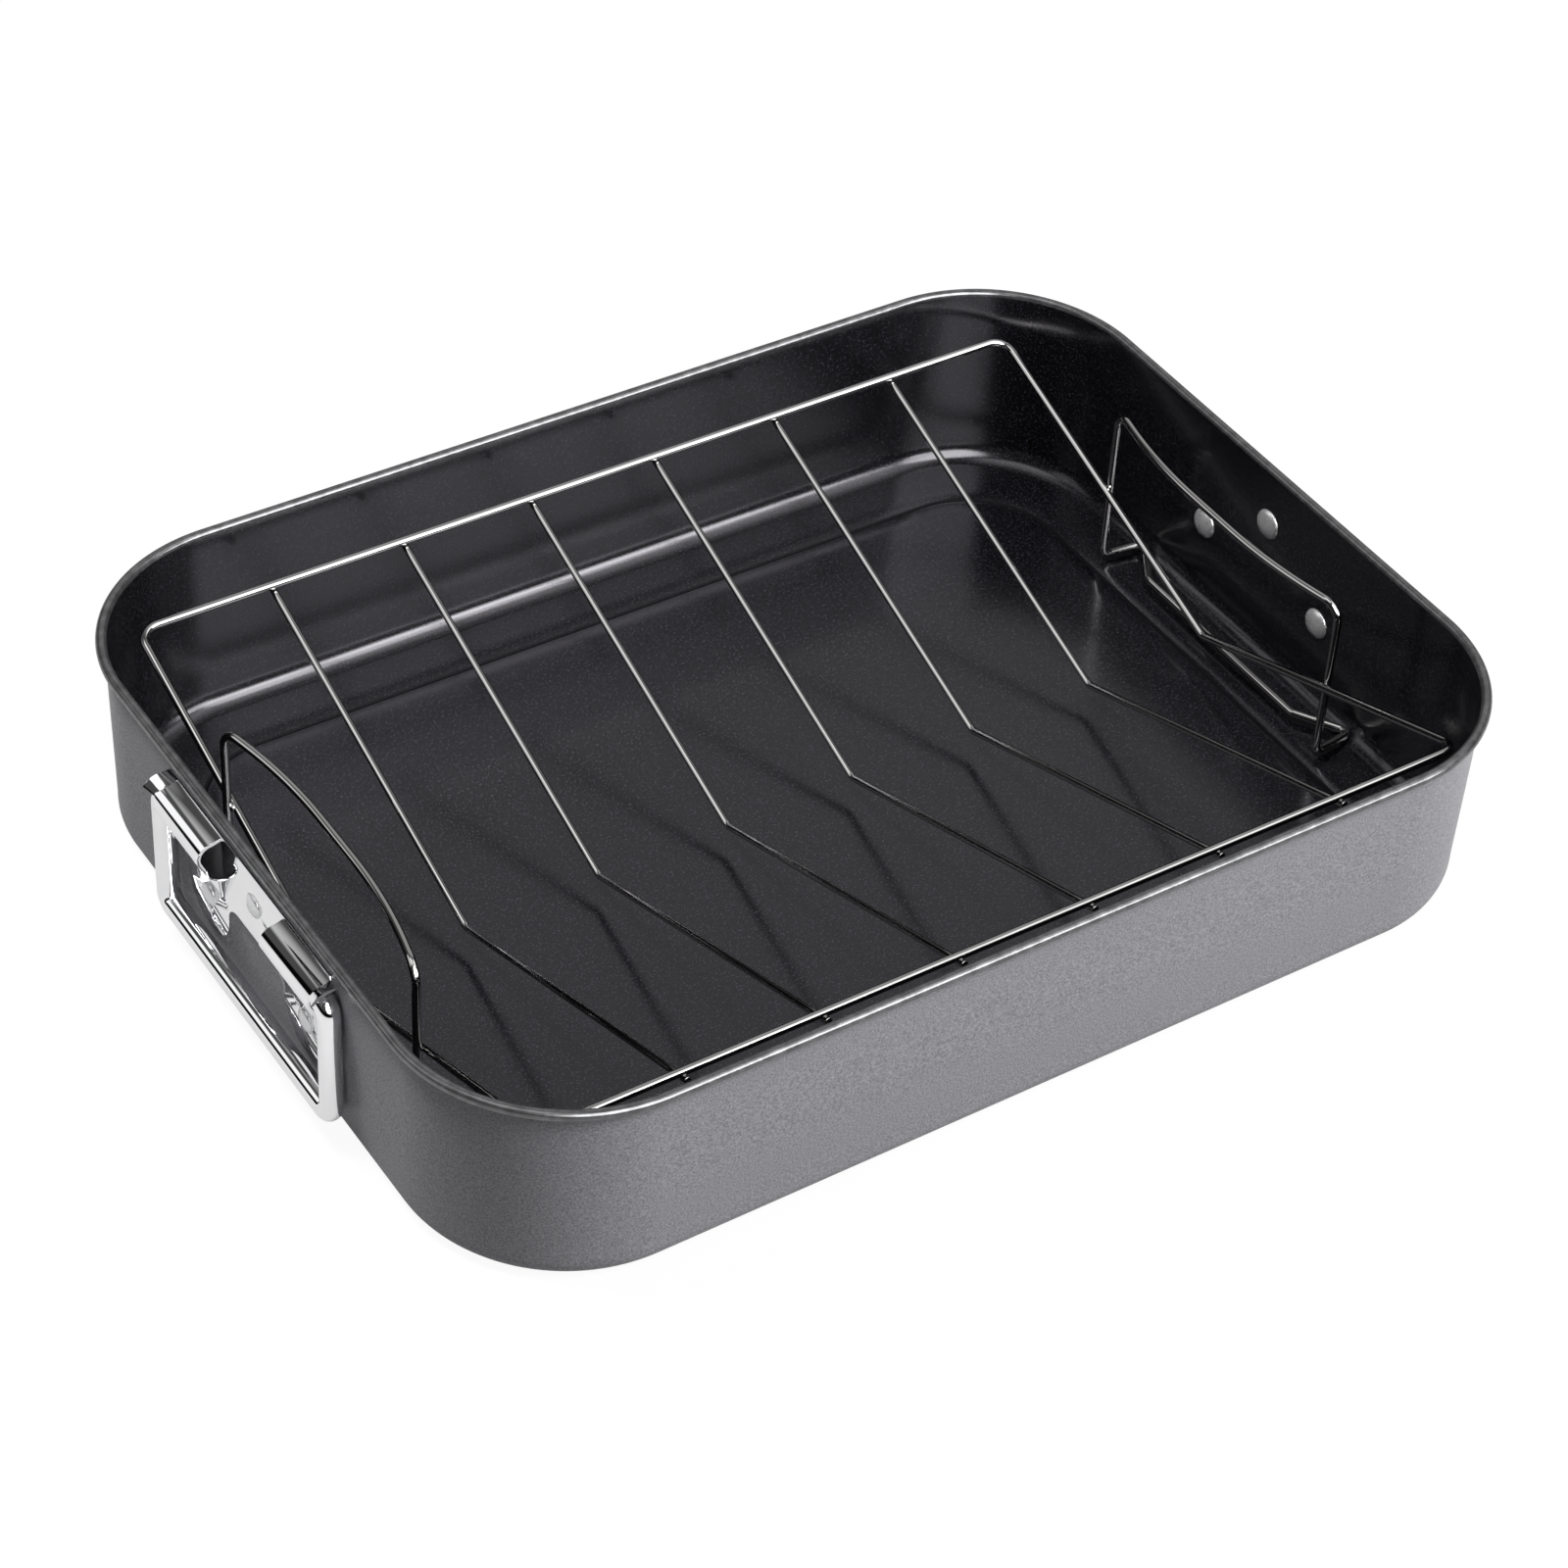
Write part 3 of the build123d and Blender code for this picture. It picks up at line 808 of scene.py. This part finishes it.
def add_bore_webs(mesh, side):
    """Closes the lower half of each hood's inner end with drawn sheet: a quarter ellipse in plan.

    At a height up the wall the underside stands out by (height - root) x slope, and the reach is that
    less the bracket's sheet. The web runs from there, out = plate - sink + (reach + sink) cos a, to the
    plate, along = start + overlap - curve share x reach sin a, and back one thickness further in."""
    s = sizes()
    up = np.linspace(s.web_bottom, s.web_top, WEB_RINGS)[:, None]
    under = (up - s.hood_root) * s.underside_slope - s.bracket_sheet
    a = np.radians(np.linspace(0, 90, WEB_PLACES))[None]
    work = bmesh.new()
    work.from_mesh(mesh)
    for along in (1, -1):
        loops = []
        for inset, turn in ((0.0, a), (WEB_SHEET_SHARE * s.bracket_sheet, a[:, ::-1])):
            reach = np.maximum(under - inset, LEAST_WEB_REACH)
            out = s.bracket_sheet - s.web_sink + (reach + s.web_sink) * np.cos(turn)
            place = s.hood_start + s.web_overlap - WEB_CURVE_SHARE * reach * np.sin(turn)
            loops.append(on_wall(side, along * place, up + 0 * turn, out))
        web = grid_mesh("bore_web", np.concatenate(loops, 1))
        if along < 0:
            web.flip_normals()
        work.from_mesh(web)
        bpy.data.meshes.remove(web)
    work.to_mesh(mesh)
    work.free()


class ROASTER_OT_brackets(bpy.types.Operator):
    """Finish the two stamped brackets"""

    bl_idname = "roaster.brackets"
    bl_label = "Brackets"

    def execute(self, context):
        for end, side in ENDS.items():
            name = end + "_bracket"
            mesh = softened_copy(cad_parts[name], name + "_plate", sizes().stamped_edge)
            pitch_roofs(mesh, side)
            add_bore_webs(mesh, side)
            add_piece(name + "_plate", mesh, "pan_body", ["chrome"], name)
        return {"FINISHED"}


def rivet_dome(face, height, head):
    """A dome from tip to edge: distance out of the wall, face + height cos^power a, radius, head sin a."""
    a = np.radians(np.linspace(0, 90, DOME_RINGS))
    return np.stack([face + height * np.cos(a) ** DOME_POWER, head * np.sin(a)], -1)


def rivet_profile():
    """A set rivet as distances out of the wall and radii: dome in the pan, shank, dome on the bracket.
    The domes' own tips are left out, because a small flat face closes each."""
    s = sizes()
    inside = rivet_dome(-s.sheet, -s.rivet_dome, s.rivet_head)[1:]
    shank = np.array([[-s.sheet, s.rivet_shank], [s.bracket_sheet, s.rivet_shank]])
    outside = rivet_dome(s.bracket_sheet, s.rivet_low_dome, s.rivet_low_head)[:0:-1]
    return np.concatenate([inside, shank, outside])


class ROASTER_OT_rivets(bpy.types.Operator):
    """Finish the rivets"""

    bl_idname = "roaster.rivets"
    bl_label = "Rivets"

    def execute(self, context):
        out, radii = rivet_profile().T[:, :, None]
        a = np.linspace(0, 2 * np.pi, RIVET_PLACES, endpoint=False)[None]
        for name in sorted(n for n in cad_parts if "_rivet_" in n):
            side = ENDS[name.split("_")[0]]
            lo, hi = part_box(name)
            along, up = (lo.y + hi.y) / 2 * side, (lo.z + hi.z) / 2
            points = on_wall(side, along + radii * np.cos(a), up + radii * np.sin(a), out)
            mesh = grid_mesh(name + "_turned", points)
            if side > 0:
                mesh.flip_normals()
            add_piece(name + "_turned", mesh, "pan_body", ["rivet"], name)
        return {"FINISHED"}


# Studio

# Half the side of the floor, in metres
FLOOR_REACH = 6.0


def soft_lamp(name, place, target, size, power, in_gloss=False):
    """A rectangular area lamp that faces a target, with places and size in metres and power in watts."""
    data = bpy.data.lights.new(name, "AREA")
    data.shape = "RECTANGLE"
    data.size, data.size_y = size
    data.energy = power
    lamp = bpy.data.objects.new(name, data)
    lamp.location = place
    lamp.rotation_euler = (Vector(target) - Vector(place)).to_track_quat("-Z", "Y").to_euler()
    # gloss shows the panels in the world, which are larger and calmer than most of the lamps
    lamp.visible_glossy = in_gloss
    bpy.context.scene.collection.objects.link(lamp)


def add_lamps():
    """The four lamps: two small ones in front, a wide low one at the right and a high one at the left."""
    soft_lamp("top_lamp", (-0.15, -0.75, 1.4), target=(0, 0.05, 0), size=(0.5, 0.5), power=6)
    soft_lamp("front_lamp", (0.5, -0.85, 1.02), target=(0, 0.05, 0.02), size=(0.38, 0.38), power=10.5)
    soft_lamp("right_lamp", (1.1, -1.6, 0.8), target=(0.1, 0, 0.03), size=(1.0, 0.8), power=22, in_gloss=True)
    soft_lamp("left_lamp", (-0.68, 0.5, 2.0), target=(-0.1, 0, 0.03), size=(0.5, 0.5), power=42)


def combine(tree, operation, first, second):
    """Two values put together by the named operation. The second may be a plain number."""
    node = tree.nodes.new("ShaderNodeMath")
    node.operation = operation
    tree.links.new(first, node.inputs[0])
    if isinstance(second, (int, float)):
        node.inputs[1].default_value = second
    else:
        tree.links.new(second, node.inputs[1])
    return node.outputs[0]


def ray_switch(tree, weights):
    """The largest of some ray kinds' weights: its weight for a ray of that kind and nothing for any other."""
    path = tree.nodes.new("ShaderNodeLightPath")
    scaled = [combine(tree, "MULTIPLY", path.outputs[kind], weight) for kind, weight in weights.items()]
    largest = scaled[0]
    for value in scaled[1:]:
        largest = combine(tree, "MAXIMUM", largest, value)
    return largest


def mix_shaders(tree, factor, first, second):
    """The first shader where the factor is nothing, and the second where it is one."""
    mix = tree.nodes.new("ShaderNodeMixShader")
    for place, value in enumerate((factor, first, second)):
        tree.links.new(value, mix.inputs[place])
    return mix.outputs[0]


def pale_floor():
    """A matt floor that the camera sees nearly white and gloss pale grey, and that gives little light
    back to the object."""
    material = bpy.data.materials.new("pale_floor")
    material.use_nodes = True
    tree = material.node_tree
    tree.nodes.clear()
    output = tree.nodes.new("ShaderNodeOutputMaterial")
    diffuse = tree.nodes.new("ShaderNodeBsdfDiffuse")
    white = tree.nodes.new("ShaderNodeEmission")
    seen, given_back = (0.95, 0.95, 0.95), (0.14, 0.14, 0.14)
    pale = ray_switch(tree, {"Is Camera Ray": 1, "Is Glossy Ray": 0.5})
    tree.links.new(mix_colour(tree, pale, given_back, seen), diffuse.inputs["Color"])
    whiteness = ray_switch(tree, {"Is Camera Ray": 0.94, "Is Glossy Ray": 0.4})
    surface = mix_shaders(tree, whiteness, diffuse.outputs[0], white.outputs[0])
    tree.links.new(surface, output.inputs["Surface"])
    return material


def panel_glow(tree, direction, towards, edge, middle, strength=1.0):
    """How much of a soft panel lies in a direction: the cosine of its angle to the panel's middle,
    remapped from nothing at the edge's cosine to the panel's strength at the middle's."""
    cosine = tree.nodes.new("ShaderNodeVectorMath")
    cosine.operation = "DOT_PRODUCT"
    cosine.inputs[1].default_value = Vector(towards).normalized()
    tree.links.new(direction, cosine.inputs[0])
    return remap(tree, cosine.outputs["Value"], (edge, middle), (0.0, strength))


def studio_glow(tree, direction):
    """What gloss sees: the brightest of four soft panels and a wide back wall, dark below the horizon."""
    walls = [
        panel_glow(tree, direction, towards=(-0.3, 0, 1), edge=0.93, middle=0.97, strength=1.9),
        panel_glow(tree, direction, towards=(-0.72, 0.42, 0.55), edge=0.91, middle=0.95, strength=1.1),
        panel_glow(tree, direction, towards=(0.5, -0.33, 0.8), edge=0.91, middle=0.98, strength=2.2),
        panel_glow(tree, direction, towards=(0, -0.8, 0.6), edge=0.88, middle=0.905, strength=10.5),
    ]
    back_wall = panel_glow(tree, direction, towards=(0.455, 0.606, 0.653), edge=0.80, middle=0.93)
    brightest = remap(tree, back_wall, span=(0.0, 1.0), result=(0.07, 0.56))
    for wall in walls:
        brightest = combine(tree, "MAXIMUM", brightest, wall)
    above_horizon = panel_glow(tree, direction, towards=(0, 0, 1), edge=0.28, middle=0.36)
    dimmed = remap(tree, above_horizon, span=(0.0, 1.0), result=(0.03, 1.0))
    return combine(tree, "MULTIPLY", brightest, dimmed)


def background(tree):
    """A white background light in the world."""
    light = tree.nodes.new("ShaderNodeBackground")
    light.inputs["Color"].default_value = (1, 1, 1, 1)
    return light


def pale_world():
    """A dim fill for matt surfaces, white for the camera, and for gloss a studio of soft panels."""
    world = bpy.data.worlds.new("pale_world")
    world.use_nodes = True
    tree = world.node_tree
    tree.nodes.clear()
    output = tree.nodes.new("ShaderNodeOutputWorld")
    direction = tree.nodes.new("ShaderNodeTexCoord").outputs["Generated"]
    fill, studio, white = background(tree), background(tree), background(tree)
    fill.inputs["Strength"].default_value = 0.08
    white.inputs["Strength"].default_value = 1.0
    tree.links.new(studio_glow(tree, direction), studio.inputs["Strength"])
    in_gloss = ray_switch(tree, {"Is Glossy Ray": 1})
    shown = mix_shaders(tree, in_gloss, fill.outputs[0], studio.outputs[0])
    to_camera = ray_switch(tree, {"Is Camera Ray": 1, "Is Transmission Ray": 1})
    shown = mix_shaders(tree, to_camera, shown, white.outputs[0])
    tree.links.new(shown, output.inputs["Surface"])
    return world


def photo_camera():
    """The camera that the photograph was solved for: it stands back in the direction that azimuth and
    elevation give, is rolled about it, and its place is given along its own three axes, in metres."""
    azimuth, elevation, roll = np.radians((-126.93796, 40.73519, 4.98895))
    aside, above, away = 0.0362422, 0.0264157, 1.4094326
    data = bpy.data.cameras.new("camera")
    data.sensor_width = 36.0
    data.lens = 94.623
    data.shift_x = -0.0707
    data.shift_y = -0.0253
    data.clip_start, data.clip_end = 0.05, 30
    level = Vector((-math.sin(azimuth), math.cos(azimuth), 0))
    back = Vector((level.y, -level.x, 0)) * math.cos(elevation) + Vector((0, 0, math.sin(elevation)))
    right = level * math.cos(roll) + back.cross(level) * math.sin(roll)
    up = back.cross(right)
    place = right * aside + up * above + back * away
    camera = bpy.data.objects.new("camera", data)
    camera.matrix_world = Matrix.Translation(place) @ Matrix((right, up, back)).transposed().to_4x4()
    return camera


class ROASTER_OT_studio(bpy.types.Operator):
    """Set the floor, the lamps, the pale background and the camera"""

    bl_idname = "roaster.studio"
    bl_label = "Studio"

    def execute(self, context):
        scene = context.scene
        mesh = bpy.data.meshes.new("studio_floor")
        corner_signs = [(-1, -1), (1, -1), (1, 1), (-1, 1)]
        mesh.from_pydata([(x * FLOOR_REACH, y * FLOOR_REACH, 0) for x, y in corner_signs], [], [(0, 1, 2, 3)])
        mesh.materials.append(pale_floor())
        floor = bpy.data.objects.new("studio_floor", mesh)
        scene.collection.objects.link(floor)
        scene.world = pale_world()
        add_lamps()
        camera = photo_camera()
        scene.collection.objects.link(camera)
        scene.camera = camera
        scene.view_settings.view_transform = "Standard"
        return {"FINISHED"}


class ROASTER_PT_panel(bpy.types.Panel):
    """The roaster's pieces, sizes and colours."""

    bl_label = "Roaster"
    bl_idname = "ROASTER_PT_panel"
    bl_space_type = "VIEW_3D"
    bl_region_type = "UI"
    bl_category = "Roaster"

    def draw(self, context):
        layout = self.layout
        for maker in MAKERS:
            layout.operator(maker.bl_idname)
        for group in (sizes(), colours()):
            box = layout.box()
            for name in group.__annotations__:
                box.prop(group, name)


MAKERS = (
    ROASTER_OT_pan,
    ROASTER_OT_rack_frame,
    ROASTER_OT_rack_ribs,
    ROASTER_OT_rack_ends,
    ROASTER_OT_bails,
    ROASTER_OT_brackets,
    ROASTER_OT_rivets,
    ROASTER_OT_studio,
)
CLASSES = (RoasterSizes, RoasterColours, *MAKERS, ROASTER_PT_panel)


def register():
    for cls in CLASSES:
        bpy.utils.register_class(cls)
    bpy.types.Scene.roaster_sizes = bpy.props.PointerProperty(type=RoasterSizes)
    bpy.types.Scene.roaster_colours = bpy.props.PointerProperty(type=RoasterColours)


def unregister():
    del bpy.types.Scene.roaster_colours
    del bpy.types.Scene.roaster_sizes
    for cls in reversed(CLASSES):
        bpy.utils.unregister_class(cls)


def main():
    register()
    bpy.ops.roaster.pan()
    bpy.ops.roaster.rack_frame()
    bpy.ops.roaster.rack_ribs()
    bpy.ops.roaster.rack_ends()
    bpy.ops.roaster.bails()
    bpy.ops.roaster.brackets()
    bpy.ops.roaster.rivets()
    bpy.ops.roaster.studio()


if __name__ == "__main__":
    main()
